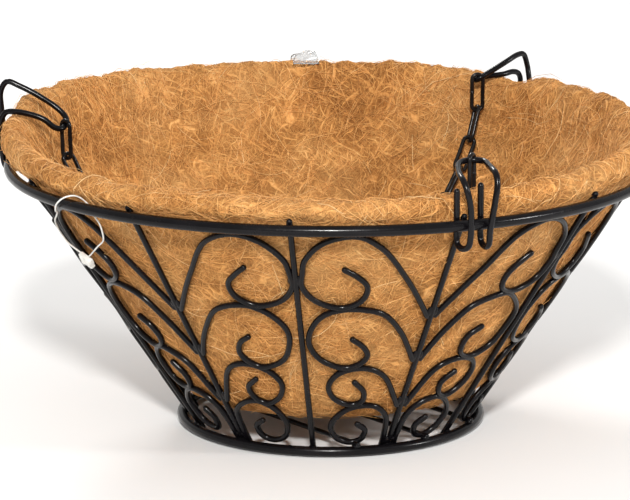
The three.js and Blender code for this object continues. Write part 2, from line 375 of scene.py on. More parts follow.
def mix_rgb(nt, fac, a, b, mode="MIX"):
    n = nt.nodes.new("ShaderNodeMix")
    n.data_type = "RGBA"
    n.blend_type = mode
    if isinstance(fac, (int, float)):
        n.inputs[0].default_value = fac
    else:
        nt.links.new(fac, n.inputs[0])
    for sock, x in ((n.inputs[6], a), (n.inputs[7], b)):
        if isinstance(x, tuple):
            sock.default_value = (*x, 1)
        else:
            nt.links.new(x, sock)
    return n.outputs[2]


def bump(nt, height, strength, distance, before=None):
    n = nt.nodes.new("ShaderNodeBump")
    n.inputs["Strength"].default_value = strength
    n.inputs["Distance"].default_value = distance
    nt.links.new(height, n.inputs["Height"])
    if before is not None:
        nt.links.new(before, n.inputs["Normal"])
    return n.outputs["Normal"]


def wire_material(name, dark, light, metallic, rough, wear):
    """Black enamelled or blackened steel wire: slight runs, orange peel and rubbed spots."""
    m, nt, bsdf = new_material(name)
    co = node(nt, "ShaderNodeTexCoord").outputs["Object"]
    broad = noise(nt, co, 45, 3)
    fine = noise(nt, co, 900, 2)
    colour = ramp(nt, broad, [(0.3, dark), (0.72, light)])
    spots = noise(nt, co, 320, 4, 0.7)
    mask = remap(nt, spots, 0.66, 0.74, 0.0, wear)
    colour = mix_rgb(nt, mask, colour, (0.05, 0.042, 0.038))
    nt.links.new(colour, bsdf.inputs["Base Color"])
    r = math_node(nt, "ADD", remap(nt, broad, 0.3, 0.7, rough, rough + 0.10), remap(nt, spots, 0.5, 0.75, 0.0, 0.14))
    nt.links.new(r, bsdf.inputs["Roughness"])
    bsdf.inputs["Metallic"].default_value = metallic
    bsdf.inputs["Specular IOR Level"].default_value = 0.20
    n1 = bump(nt, broad, 0.25, 0.0006)
    n2 = bump(nt, fine, 0.22, 0.00012, n1)
    nt.links.new(n2, bsdf.inputs["Normal"])
    return m


def coir_stops(nt, fac):
    return ramp(
        nt,
        fac,
        [
            (0.00, (0.200, 0.078, 0.020)),
            (0.26, (0.420, 0.182, 0.050)),
            (0.52, (0.690, 0.335, 0.104)),
            (0.78, (0.880, 0.495, 0.185)),
            (1.00, (0.980, 0.710, 0.370)),
        ],
    )


def coir_material():
    """Pressed coconut fibre: crossing streaks in every direction, clumps and pits."""
    m, nt, bsdf = new_material("coir_felt")
    uv = node(nt, "ShaderNodeUVMap", uv_map="felt").outputs["UV"]
    co = node(nt, "ShaderNodeTexCoord").outputs["Object"]
    # the streaks wander
    warp = nt.nodes.new("ShaderNodeTexNoise")
    warp.inputs["Scale"].default_value = 38
    warp.inputs["Detail"].default_value = 2
    nt.links.new(uv, warp.inputs["Vector"])
    off = nt.nodes.new("ShaderNodeVectorMath")
    off.operation = "SUBTRACT"
    nt.links.new(warp.outputs["Color"], off.inputs[0])
    off.inputs[1].default_value = (0.5, 0.5, 0.5)
    sc = nt.nodes.new("ShaderNodeVectorMath")
    sc.operation = "SCALE"
    sc.inputs["Scale"].default_value = 0.022
    nt.links.new(off.outputs[0], sc.inputs[0])
    ad = nt.nodes.new("ShaderNodeVectorMath")
    ad.operation = "ADD"
    nt.links.new(uv, ad.inputs[0])
    nt.links.new(sc.outputs[0], ad.inputs[1])
    streaks = None
    for i, (ang, across, along) in enumerate(
        [(8, 1000, 75), (52, 820, 60), (97, 1100, 85), (143, 900, 70), (28, 620, 45), (118, 560, 50)]
    ):
        mp = nt.nodes.new("ShaderNodeMapping")
        mp.vector_type = "POINT"
        mp.inputs["Rotation"].default_value = (0, 0, ang * DEG)
        mp.inputs["Location"].default_value = (0.31 * i, 0.17 * i, 0)
        nt.links.new(ad.outputs[0], mp.inputs["Vector"])
        st = nt.nodes.new("ShaderNodeMapping")
        st.inputs["Scale"].default_value = (along, across, 1)
        nt.links.new(mp.outputs["Vector"], st.inputs["Vector"])
        f = noise(nt, st.outputs["Vector"], 1.0, 1.5, 0.5)
        line = remap(nt, f, 0.53, 0.74, 0.0, 1.0)
        streaks = line if streaks is None else math_node(nt, "MAXIMUM", streaks, line)
    clumps = noise(nt, co, 62, 4, 0.62, 0.4)
    patches = noise(nt, co, 13, 3, 0.6)
    grain = noise(nt, co, 520, 3, 0.65)
    tone = math_node(nt, "MULTIPLY", streaks, 0.46)
    tone = math_node(nt, "ADD", tone, remap(nt, clumps, 0.25, 0.75, 0.02, 0.30))
    tone = math_node(nt, "ADD", tone, remap(nt, patches, 0.25, 0.75, -0.12, 0.16))
    tone = math_node(nt, "ADD", tone, remap(nt, grain, 0.3, 0.7, -0.08, 0.10))
    colour = coir_stops(nt, tone)
    # in random patches the felt is duller
    dull = remap(nt, patches, 0.45, 0.72, 0.0, 0.45)
    colour = mix_rgb(nt, dull, colour, (0.42, 0.245, 0.105))
    nt.links.new(colour, bsdf.inputs["Base Color"])
    nt.links.new(remap(nt, streaks, 0, 1, 0.92, 0.68), bsdf.inputs["Roughness"])
    bsdf.inputs["Specular IOR Level"].default_value = 0.12
    h = math_node(nt, "ADD", streaks, math_node(nt, "MULTIPLY", grain, 0.6))
    n1 = bump(nt, clumps, 0.75, 0.004)
    n2 = bump(nt, h, 0.85, 0.0011, n1)
    nt.links.new(n2, bsdf.inputs["Normal"])
    return m


def fibre_material():
    m, nt, bsdf = new_material("coir_fibre")
    tone = node(nt, "ShaderNodeAttribute", attribute_name="tone").outputs["Fac"]
    co = node(nt, "ShaderNodeTexCoord").outputs["Object"]
    along = noise(nt, co, 260, 3)
    patches = noise(nt, co, 13, 3, 0.6)
    t = math_node(nt, "ADD", tone, remap(nt, along, 0.3, 0.7, -0.12, 0.12))
    t = math_node(nt, "ADD", t, remap(nt, patches, 0.25, 0.75, -0.10, 0.12))
    nt.links.new(coir_stops(nt, t), bsdf.inputs["Base Color"])
    nt.links.new(remap(nt, along, 0.3, 0.7, 0.5, 0.75), bsdf.inputs["Roughness"])
    bsdf.inputs["Specular IOR Level"].default_value = 0.22
    nt.links.new(bump(nt, noise(nt, co, 2500, 2), 0.3, 0.0001), bsdf.inputs["Normal"])
    return m


def nylon_material():
    m, nt, bsdf = new_material("tag_nylon")
    co = node(nt, "ShaderNodeTexCoord").outputs["Object"]
    cloud = noise(nt, co, 190, 3)
    nt.links.new(ramp(nt, cloud, [(0.3, (0.66, 0.65, 0.61)), (0.7, (0.86, 0.86, 0.83))]), bsdf.inputs["Base Color"])
    nt.links.new(remap(nt, cloud, 0.3, 0.7, 0.28, 0.42), bsdf.inputs["Roughness"])
    bsdf.inputs["Subsurface Weight"].default_value = 0.15
    bsdf.inputs["Subsurface Radius"].default_value = (0.002, 0.002, 0.002)
    nt.links.new(bump(nt, noise(nt, co, 1400, 2), 0.15, 0.0001), bsdf.inputs["Normal"])
    return m


def film_material():
    m, nt, bsdf = new_material("clear_film")
    co = node(nt, "ShaderNodeTexCoord").outputs["Object"]
    haze = noise(nt, co, 85, 3)
    nt.links.new(ramp(nt, haze, [(0.3, (0.90, 0.92, 0.93)), (0.7, (0.99, 0.99, 0.99))]), bsdf.inputs["Base Color"])
    nt.links.new(remap(nt, haze, 0.3, 0.75, 0.06, 0.26), bsdf.inputs["Roughness"])
    bsdf.inputs["Transmission Weight"].default_value = 0.88
    bsdf.inputs["IOR"].default_value = 1.45
    nt.links.new(bump(nt, noise(nt, co, 120, 2), 0.35, 0.0008), bsdf.inputs["Normal"])
    return m


enamel = wire_material("black_enamel", (0.0016, 0.0014, 0.0018), (0.0052, 0.0044, 0.0056), 0.0, 0.15, 0.10)
blackened = wire_material("blackened_steel", (0.006, 0.0055, 0.006), (0.022, 0.019, 0.018), 0.35, 0.16, 0.4)
felt = coir_material()
fibre = fibre_material()
nylon = nylon_material()
film = film_material()


# ------------------------------------------------------------------ clips' wire (used by the cords)
def hook(ti, tm, d, top):
    return [
        (ti, -5.15, top), (ti, -5.15, 3), (ti, -5.15, -1.2 - d), (ti, -4.0, -4.6 - d),
        (ti * 0.75 + tm * 0.25, -0.2, -6.3 - d), (ti * 0.25 + tm * 0.75, 3.9, -4.6 - d), (tm, 5.3, -0.5 - 0.4 * d),
    ]


CLIPS = {   # where the chain hangs, the height of the wire there, and the wire's points
    "clip_front": ((10, -26.5, 27.4), 28.0, hook(-9.5, -6.6, 5.7, 17) + [
        (-7.6, 6.3, 12), (-9.3, 5.5, 20), (-9.6, 2.3, 24), (-8.2, -4, 25.4), (-4.6, -13, 26.2), (-0.6, -21, 27.2),
        (4, -25.6, 27.8), (10, -26.5, 28), (14.6, -22, 27.8), (12.6, -12.5, 27.4), (10, -3.5, 27.4),
        (8.8, 2.8, 26), (8.2, 5.7, 21.5), (6.6, 6.2, 12)] + hook(4.2, 4.4, 5.7, 19)[::-1]),
    "clip_back": ((10.2, -27, 23.6), 24.6, hook(-4.3, -4.3, 0, 17) + [
        (-3.6, 7.2, 14), (-1.6, 8.2, 23), (-0.2, 8.3, 29.5), (0, 4.6, 36.4), (0.4, -1, 36.6), (1.6, -9, 34),
        (5, -17, 29.9), (7.2, -22.6, 27.2), (8.6, -26, 25.6), (11.4, -27, 23.9), (12.4, -23.6, 23.7), (10, -18.6, 25.1),
        (6.4, -12.6, 25.5), (4.3, -8, 25.8), (3, -2, 26.4), (2.6, 3, 25), (3.2, 6.4, 20.5), (4.8, 6.9, 14.5)]
        + hook(9.3, 6.4, 0, 17)[::-1]),
    "clip_left": ((1.5, -29.7, 17.2), 18.4, hook(-9.5, -6.8, 0, 17) + [
        (-7.2, 6.6, 10), (-7.5, 7.8, 25), (-7.5, 8, 35.8), (-7.4, 4.4, 41.2), (-7.3, -2.8, 38.8), (-7.2, -14, 33.1),
        (-7, -23.6, 26.8), (-5.4, -28.4, 22.4), (-2, -29.9, 19.7), (2, -29.5, 18.2), (5, -27.8, 17.3), (6.8, -24.4, 18.3),
        (7.2, -18.6, 22.8), (7.1, -11, 25.5), (7, -3, 26.8), (6.9, 2.8, 26.4), (6.3, 6, 20), (5.2, 6, 9)]
        + hook(4.1, 4.3, 0, 17)[::-1]),
}


def local(a, tqh):
    t, q, h = tqh
    et = np.array([math.cos(a * DEG), math.sin(a * DEG), 0])
    er = np.array([math.sin(a * DEG), -math.cos(a * DEG), 0])
    return polar(a, RIM_R, RIM_Z) + t * et + q * er + np.array([0, 0, h])


# ------------------------------------------------------------------ cords: three chains
def wall_r(z):
    return 156 - 0.65585 * (146 - z)


def chain_points(clip, turn):
    a0 = CLIP_A[clip]
    top = local(a0, CLIPS[clip][0])
    rE = math.hypot(top[0], top[1])
    aE = math.atan2(top[0], -top[1]) / DEG
    zE = top[2] - CLIP_WIRE / 2 * 1.1 - 0.9
    gap = 6.2
    zT = 146 - (156 - gap - rE) / 0.65585
    P = [polar(aE, rE, zE), polar(aE, rE, zE - 0.5 * (zE - zT - 4)), polar(aE, rE - 0.5, zT + 4)]
    for z, d in [(zT - 9, 0), (124, 0), (106, 1.2), (90, 5), (73, 13.5), (61.5, 24), (51.5, 38), (43.8, 55)]:
        if z < zT - 8:
            P.append(polar(aE + d, wall_r(z) - gap, z))
    floor = [(71.5, 1.6), (66, 0.3), (60.5, 0), (55, 0), (49.5, 0), (44, 0), (40, 0)]
    for i, (r, up) in enumerate(floor):
        P.append(polar(aE + 75 + turn * i / 6, r, CHAIN_Z + up))
    aT = aE + 75 + turn
    for s in (28, 56, 84, 112, 136):
        px, py = 18 + 22 * math.cos(s * DEG), 22 * math.sin(s * DEG)
        P.append(polar(aT + math.atan2(py, px) / DEG, math.hypot(px, py), CHAIN_Z))
    return P


def path_length(line):
    return float(np.linalg.norm(np.diff(line, axis=0), axis=1).sum())


def chain_line(clip):
    lo, hi = 20.0, 200.0
    for _ in range(18):
        mid = (lo + hi) / 2
        if path_length(catmull(chain_points(clip, mid), 240)) < CHAIN_LEN:
            lo = mid
        else:
            hi = mid
    return catmull(chain_points(clip, (lo + hi) / 2), 900)


def link_line(half_long, half_wide, n=34):
    """A link's centreline: two straights and two round ends, pinched a little at the waist."""
    straight = half_long - half_wide
    pts = []
    for k in range(n):
        t = 2 * math.pi * k / n
        c, s = math.cos(t), math.sin(t)
        x = straight * (1 if c > 0 else -1) * min(1, abs(c) * 3.0) + half_wide * c
        y = half_wide * s * (1 - 0.10 * math.exp(-((x / 4.0) ** 2)))
        pts.append((x, y))
    return pts


LINK_WIRE = 2.4
LINK = link_line(10.7, 3.45)
chain_objects = {}
rng = np.random.default_rng(11)
for clip, chain in (("clip_front", "chain_front"), ("clip_back", "chain_back"), ("clip_left", "chain_left")):
    line = chain_line(clip)
    # the first link is threaded by the clip's wire, so the line starts over that wire
    up = CLIPS[clip][1] + CLIP_SHOW / 2 - (CLIPS[clip][0][2] - CLIP_WIRE / 2 * 1.1 - 0.9)
    lead = np.array([line[0] + (0, 0, up), line[0] + (0, 0, up / 2)])
    full = np.concatenate([lead, line])
    b = Builder()
    nodes = [at_length(full, PITCH * i) for i in range(20)]
    spin = 45.0
    for i in range(19):
        p0, p1 = nodes[i], nodes[i + 1]
        d = (p1 - p0) / np.linalg.norm(p1 - p0)
        mid = (p0 + p1) / 2
        radial = np.array([mid[0], mid[1], 0.0])
        radial = radial / np.linalg.norm(radial)
        ref = np.array([0, 0, 1.0]) if abs(d[2]) < 0.55 else -radial
        ref = ref - (ref @ d) * d
        ref /= np.linalg.norm(ref)
        side = np.cross(d, ref)
        t = (spin + (90 if i % 2 else 0) + rng.uniform(-9, 9)) * DEG
        w = math.cos(t) * side + math.sin(t) * ref
        pts = [mid + x * d + y * w for x, y in LINK]
        tube(b, pts, LINK_WIRE / 2, sides=10, closed=True, start_up=np.cross(d, w), wobble=0.05, seed=3)
        # the butt weld in one long side
        bead(b, mid + 3.1 * w, (d, w, np.cross(d, w)), (1.6, 1.33, 1.33), i + 2, 0.12)
    o = b.object(f"link_{chain}", blackened)
    chain_objects[chain] = (o, full)

# the hook that gathers the chains lies on their ends
z = CHAIN_Z + 5 / 2 * 1.054 + HOOK_WIRE / 2 * 1.1 + 0.4
P = [(13 * math.cos(t * DEG), 13 * math.sin(t * DEG)) for t in (52, 90, 130, 170, 210, 250, 290, 325)]
P += [(15, -1.6), (19.5, 0.4), (29, 0.2), (40, 0)]
P += [(41 + 15 * math.cos(t * DEG), 15 + 15 * math.sin(t * DEG)) for t in (-60, -30, 0, 30, 60, 95, 130)]
c, s = math.cos(-20 * DEG), math.sin(-20 * DEG)
b = Builder()
hook_line = even(catmull([(c * x - s * y, s * x + c * y, z) for x, y in P], 300), 0.9)
tube(b, hook_line, HOOK_WIRE / 2, sides=14, wobble=0.02)
hook_obj = b.object("gathering_hook", enamel)
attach(hook_obj, "cradle")
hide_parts("hanging_hook")

for chain, (o, full) in chain_objects.items():
    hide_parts(chain)
    clip = chain.replace("chain", "clip")
    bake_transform(o)
    path = [tuple(float(x) for x in at_length(full, s_) * MM) for s_ in np.linspace(0, min(PITCH * 19 + 1, path_length(full)), 130)]


# ------------------------------------------------------------------ rings and cross bars
def ring_line(R, zc, n=220):
    t = np.arange(n) / n * 2 * math.pi
    return np.stack([R * np.cos(t), R * np.sin(t), np.full(n, float(zc))], 1)


def er_of(a):
    return np.array([math.sin(a * DEG), -math.cos(a * DEG), 0.0])


def et_of(a):
    return np.array([math.cos(a * DEG), math.sin(a * DEG), 0.0])


UP = np.array([0, 0, 1.0])
SLOPE = np.array([CONE_SLOPE, 0, 1.0]) / math.hypot(CONE_SLOPE, 1)


def slope_of(a):
    return SLOPE[0] * er_of(a) + SLOPE[2] * UP


b = Builder()
tube(b, ring_line(RIM_R, RIM_Z, 260), RIM_WIRE / 2, sides=18, closed=True)
bead(b, polar(128, RIM_R, RIM_Z), (et_of(128), er_of(128), UP), (3.2, 3.35, 3.35), 5, 0.06)
rim = b.object("rim_wire", enamel)
b = Builder()
tube(b, ring_line(BASE_R, BASE_WIRE / 2, 180), BASE_WIRE / 2, sides=16, closed=True)
bead(b, polar(160, BASE_R, BASE_WIRE / 2), (et_of(160), er_of(160), UP), (3, 2.95, 2.7), 6, 0.05)
base = b.object("base_wire", enamel)
rows = [(rim, "rim_ring"), (base, "base_ring")]
for x, name in zip(BAR_X, ("cross_bar_left", "cross_bar_middle", "cross_bar_right")):
    half = math.sqrt(BAR_R * BAR_R - x * x)
    b = Builder()
    ys = np.linspace(-half, half, 26)
    tube(b, [(x, y, BAR_Z - 0.5) for y in ys], CLIP_WIRE / 2, sides=12, wobble=0.015)
    for s_ in (-1, 1):
        p = np.array([x, s_ * (half - 1.4), BAR_Z - 1.6])
        bead(b, p, ((1, 0, 0), (0, 1, 0), UP), (2.3, 2.6, 1.7), int(x) + 50 + s_, 0.14)
    rows.append((b.object(f"bar_wire_{name[10:]}", enamel), name))

# ------------------------------------------------------------------ ribs with their welds
for k in range(6):
    for kind, a0 in (("plain", PLAIN_A0), ("branch", BRANCH_A0)):
        a = a0 + 60 * k
        b = Builder()
        zs = np.linspace(1.7 - BASE_Z, 150 - BASE_Z, 40)
        tube(b, [on_cone(a, q) for q in zs], RIB_SHOW / 2, sides=12, wobble=0.012, seed=k + 2)
        bead(b, polar(a, 173.6, 146.3), (et_of(a), er_of(a), UP), (2.5, 2.2, 3.1), 7 * k + len(kind), 0.15)
        bead(b, polar(a, 80.3, 3.3), (et_of(a), er_of(a), UP), (2.5, 1.9, 2.3), 11 * k + len(kind), 0.15)
        if kind == "plain":
            # where the two top scrolls touch it
            bead(b, on_cone(a, 110.5), (et_of(a), er_of(a), slope_of(a)), (4.2, 1.75, 4.6), 13 * k + 1, 0.14)
        rows.append((b.object(f"rib_wire_{kind}_{k + 1}", enamel), f"{kind}_rib_{k + 1}"))

# ------------------------------------------------------------------ scrolls
STEM = 3.1


def beside(q):
    return 30 - STEM / (cone_r(q) * DEG)


SCROLLS = [
    [(29.0, 86), (26.6, 94.6), (21.8, 112), (15.9, 132.5), (11.0, 138), (6, 134.6), (2.1, 124), (1.2, 115), (1.25, 107.5),
     (3.6, 98.4), (9.3, 94.0), (13.4, 98.6), (14.2, 106.5), (12.2, 113), (9.8, 117.5)],
    [(28.9, 58), (27.2, 64), (23.6, 76.5), (18.6, 88.5), (14.2, 92.6), (9.6, 93.0), (5.2, 88.3), (2.3, 79),
     (2.2, 69.5), (4.6, 59.6), (10.6, 54.4), (14.8, 57.4), (16.2, 62.8), (15.0, 68.5), (12.3, 73.5)],
    [(28.6, 28), (26.8, 33.5), (22.2, 48.8), (18.0, 53.6), (13.0, 54.6), (8.4, 49.8), (6.4, 42.5), (7.6, 34.6),
     (12.2, 29.8), (16.2, 32.2), (17.0, 38.8), (14.0, 45)],
    [(27.4, -0.6), (27.2, 8), (25.6, 20.6), (21.4, 27.8), (15.6, 29.4), (10.6, 25.2), (7.4, 16.6),
     (8.6, 8.4), (13.4, 4.4), (18.6, 6.4), (19.4, 12.0), (16.4, 17.0)],
]
TOP_OF_STEM = [91, 63, 33, 6]
for k in range(6):
    a0 = PLAIN_A0 + 60 * k
    for side, letter in ((-1, "a"), (1, "b")):
        b = Builder()
        for i, pts in enumerate(SCROLLS):
            jig = np.random.default_rng(100 * k + 10 * i + side + 1)
            away = 1.1 if side < 0 and i else 0.0        # this side stands a little off the plain rib
            shift = [(u + away * min(1, n_ / 3) + (0.22 * jig.normal() if 2 <= n_ else 0), q + (0.35 * jig.normal() if 2 <= n_ else 0))
                     for n_, (u, q) in enumerate(pts)]
            flat = even(catmull([(u * 2.0, q, 0) for u, q in shift], 170), 1.5)
            line = [on_cone(a0 + side * p[0] / 2.0, p[1]) for p in flat]
            tube(b, line, RIB_SHOW / 2, sides=12, wobble=0.012, seed=i + 1)
            ab = a0 + side * 30
            q = TOP_OF_STEM[i] - 3
            a_mid = ab - side * (STEM / 2) / (cone_r(q) * DEG)
            bead(b, on_cone(a_mid, q), (et_of(a_mid), er_of(a_mid), slope_of(a_mid)), (2.0, 1.75, 4.2), 31 * k + 3 * i + side, 0.14)
        rows.append((b.object(f"scroll_wires_{k + 1}{letter}", enamel), f"scroll_stack_{k + 1}{letter}"))
for o, n_ in rows:
    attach(o, "cradle")
    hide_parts(n_)

# ------------------------------------------------------------------ clips
for name, (eye, eye_h, pts) in CLIPS.items():
    line = even(catmull([local(CLIP_A[name], p) for p in pts], 500), 1.0)
    b = Builder()
    tube(b, line, CLIP_SHOW / 2, sides=12, wobble=0.015, seed=5)
    o = b.object(f"bent_{name}", enamel)
    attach(o, name)
    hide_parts(name)

# ------------------------------------------------------------------ coir liner
A, SEG = 640, [8, 5, 4, 52, 26, 52, 4, 9]      # steps round, and per stretch of the profile
ang = np.arange(A) / A * 360.0 - 180.0
pos = np.stack([np.sin(ang * DEG), -np.cos(ang * DEG), np.zeros(A)], 1)


def bumped(value_at, a):
    """A periodic value through (angle, value) marks, smooth."""
    marks = sorted(value_at)
    xs = np.array([m[0] for m in marks] + [marks[0][0] + 360])
    ys = np.array([m[1] for m in marks] + [marks[0][1]])
    x = (a - xs[0]) % 360 + xs[0]
    i = np.clip(np.searchsorted(xs, x, side="right") - 1, 0, len(xs) - 2)
    w = (x - xs[i]) / (xs[i + 1] - xs[i])
    w = w * w * (3 - 2 * w)
    return ys[i] * (1 - w) + ys[i + 1] * w


LIP_H = bumped([(-160, 30), (-145, 31), (-128, 29), (-118, 25), (-107, 19.5), (-98, 17.5), (-88, 16), (-75, 15.5), (-60, 15), (-38, 14),
                (-5, 15.5), (25, 18.5), (52, 23), (85, 26), (142, 27.5)], ang)
LIP_F = bumped([(-160, 7), (-128, 11), (-95, 8), (-65, 5), (-38, 4), (-5, 4), (25, 4.5), (52, 7), (85, 5), (142, 3.5)], ang)
LIP_H = LIP_H + 1.1 * perlin(pos * 9, 21) + 1.0 * perlin(pos * 26, 22) + 0.5 * perlin(pos * 70, 23)
LIP_F = LIP_F + 1.2 * perlin(pos * 8, 24) + 0.8 * perlin(pos * 24, 25)
for a_c, dh, df, w_c in ((-13.05, 0.5, 5.0, 5.0), (-17.0, 0.3, 2.0, 4.0), (103.2, 4.0, 2.5, 5.0), (-131.5, 7.5, 4.0, 4.5)):
    near = np.exp(-((((ang - a_c + 180) % 360) - 180) / w_c) ** 2)
    LIP_H, LIP_F = LIP_H - dh * near, LIP_F - df * near
H, F = LIP_H, LIP_F
one = np.ones(A)
ctrl = [
    (0 * one, 20.6 * one), (62 * one, 20.3 * one), (80 * one, 21.4 * one), (91.2 * one, 28.2 * one),
    (130.2 * one, 87.0 * one), (169.0 * one, 145.6 * one),
    (170.6 + 0.35 * F, 146 + 0.20 * H), (171.2 + F, 146 + 0.58 * H), (170.0 + F, 146 + 0.88 * H),
    (166.6 + F, 146 + H), (162.4 + 0.9 * F, 146 + 0.93 * H), (159.2 + 0.6 * F, 146 + 0.62 * H), (157.0 + 0.25 * F, 146 + 0.3 * H),
    (155.2 * one, 144 * one), (119.8 * one, 90.8 * one), (85.0 * one, 37.4 * one), (76 * one, 32.2 * one), (60 * one, 31.5 * one), (0 * one, 31.5 * one),
]
ctrl = np.stack([np.stack(c_, 1) for c_ in ctrl], 1)                # A, K, 2
K = ctrl.shape[1]
per = [10, 5, 6, 24, 24, 4, 5, 5, 4, 5, 5, 4, 4, 24, 24, 6, 4, 10]
assert len(per) == K - 1
cols = []
for i in range(K - 1):
    p1, p2 = ctrl[:, i], ctrl[:, i + 1]
    p0 = ctrl[:, i - 1] if i else 2 * p1 - p2
    p3 = ctrl[:, i + 2] if i + 2 < K else 2 * p2 - p1
    d = [np.maximum(np.linalg.norm(y - x, axis=1) ** 0.5, 1e-3)[:, None] for x, y in ((p0, p1), (p1, p2), (p2, p3))]
    t1 = ((p1 - p0) / d[0] - (p2 - p0) / (d[0] + d[1]) + (p2 - p1) / d[1]) * d[1]
    t2 = ((p2 - p1) / d[1] - (p3 - p1) / (d[1] + d[2]) + (p3 - p2) / d[2]) * d[1]
    for j in range(per[i]):
        w = j / per[i]
        cols.append(p1 + t1 * w + (-3 * p1 + 3 * p2 - 2 * t1 - t2) * w * w + (2 * p1 - 2 * p2 + t1 + t2) * w**3)
cols.append(ctrl[:, -1])
prof = np.stack(cols, 1)                                             # A, T, 2
T = prof.shape[1]
rad = np.maximum(prof[:, :, 0], 0.0)
G = np.stack([rad * pos[:, 0:1], rad * pos[:, 1:2], prof[:, :, 1]], 2)   # A, T, 3
dt = np.gradient(G, axis=1)
da = np.roll(G, -1, 0) - np.roll(G, 1, 0)
N = np.cross(da, dt)
N /= np.maximum(np.linalg.norm(N, axis=2, keepdims=True), 1e-9)
N[:, 0] = (0, 0, -1)
N[:, -1] = (0, 0, 1)
if N[0, 60] @ np.array([pos[0, 0], pos[0, 1], 0]) < 0:
    N[:, 1:-1] *= -1
cum = np.concatenate([[0], np.cumsum(np.linalg.norm(np.diff(G[A // 2], axis=0), axis=1))])
flatP = G.reshape(-1, 3)
lipness = np.clip((flatP[:, 2] - 140) / 12, 0, 1)
disp = 0.55 * perlin(flatP / 17.0, 31) + 0.45 * perlin(flatP / 7.5, 32) + 0.30 * perlin(flatP / 3.6, 33)
disp += lipness * (1.3 * perlin(flatP / 11.0, 34) + 0.7 * perlin(flatP / 5.0, 35))
# between the ribs the felt swells out a little, and it is nipped in under each rib
aa = np.repeat(ang, T)
under = np.cos((aa + 15) * 12 * DEG / 1.0)
outer = (np.tile(np.arange(T), A) < sum(per[:5])) & (flatP[:, 2] > 30)
disp = np.where(outer, np.minimum(disp, 0.55) - 0.25 - 0.35 * under, disp)
inner_floor = np.tile(np.arange(T), A) > T - 1 - per[-1]
centre_fade = np.clip(np.hypot(flatP[:, 0], flatP[:, 1]) / 12, 0, 1)
G = (flatP + N.reshape(-1, 3) * (disp * centre_fade)[:, None]).reshape(A, T, 3)
G[:, 0] = G[:, 0].mean(0)
G[:, -1] = G[:, -1].mean(0)


def grid_object(name, G, cum, material):
    A_, T_ = G.shape[:2]
    v = G[:, 1:-1].reshape(-1, 3)
    M = T_ - 2
    i = np.arange(A_)
    quads = []
    for t in range(M - 1):
        a, c_ = i * M + t, ((i + 1) % A_) * M + t
        quads.append(np.stack([a, c_, c_ + 1, a + 1], 1))
    quads = np.concatenate(quads)
    v = np.concatenate([v, G[0:1, 0], G[0:1, -1]])
    first, last = len(v) - 2, len(v) - 1
    tris = np.concatenate([
        np.stack([((i + 1) % A_) * M, i * M, np.full(A_, first), np.full(A_, -1)], 1),
        np.stack([i * M + M - 1, ((i + 1) % A_) * M + M - 1, np.full(A_, last), np.full(A_, -1)], 1),
    ])
    b_ = Builder()
    b_.add(v, np.concatenate([quads, tris]))
    o_ = b_.object(name, material)
    me = o_.data
    # surface coordinates for the felt, in metres: round the basket, and along its profile
    uvl = me.uv_layers.new(name="felt")
    li = np.zeros(len(me.loops), np.int32)
    me.loops.foreach_get("vertex_index", li)
    ai = np.where(li < A_ * M, li // M, 0)
    ti = np.where(li < A_ * M, li % M + 1, np.where(li == first, 0, T_ - 1))
    starts = np.zeros(len(me.polygons), np.int32)
    me.polygons.foreach_get("loop_start", starts)
    tot = np.zeros(len(me.polygons), np.int32)
    me.polygons.foreach_get("loop_total", tot)
    poly = np.repeat(np.arange(len(starts)), tot)
    amax = np.zeros(len(starts), int)
    np.maximum.at(amax, poly, ai)
    wrap = (amax[poly] == A_ - 1) & (ai == 0)
    u = np.where(wrap, A_, ai) / A_ * 2 * math.pi * 0.140
    vv = cum[ti] * MM
    me.uv_layers["felt"].data.foreach_set("uv", np.stack([u, vv], 1).astype(np.float32).ravel())
    return o_


liner = grid_object("coir_felt_liner", G, cum, felt)
bpy.context.view_layer.update()
nrm = sum((p.normal @ p.center) for p in list(liner.data.polygons)[: 4000 : 40] if p.center.z < 0.14)
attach(liner, "cradle")
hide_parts("coir_liner")

# normals after displacement, for the loose fibres
dt = np.gradient(G, axis=1)
da = np.roll(G, -1, 0) - np.roll(G, 1, 0)
N2 = np.cross(da, dt)
N2 /= np.maximum(np.linalg.norm(N2, axis=2, keepdims=True), 1e-9)
N2[:, 0] = (0, 0, -1)
N2[:, -1] = (0, 0, 1)
if N2[0, 60] @ np.array([pos[0, 0], pos[0, 1], 0]) < 0:
    N2[:, 1:-1] *= -1


def sample(grid, ai, ti):
    ai = ai % A
    ti = np.clip(ti, 1, T - 2.001)
    i0, t0 = np.floor(ai).astype(int) % A, np.floor(ti).astype(int)
    fa, ft = (ai - np.floor(ai))[:, None], (ti - t0)[:, None]
    i1, t1_ = (i0 + 1) % A, t0 + 1
    return (
        grid[i0, t0] * (1 - fa) * (1 - ft) + grid[i1, t0] * fa * (1 - ft)
        + grid[i0, t1_] * (1 - fa) * ft + grid[i1, t1_] * fa * ft
    )


edge = np.cumsum([0] + per)
REGION = {
    "outer": (edge[2], edge[6], 2900),
    "lip": (edge[5], edge[13], 2300),
    "inner": (edge[11], edge[16], 2700),
    "floors": (edge[16], T - 3, 350),
}


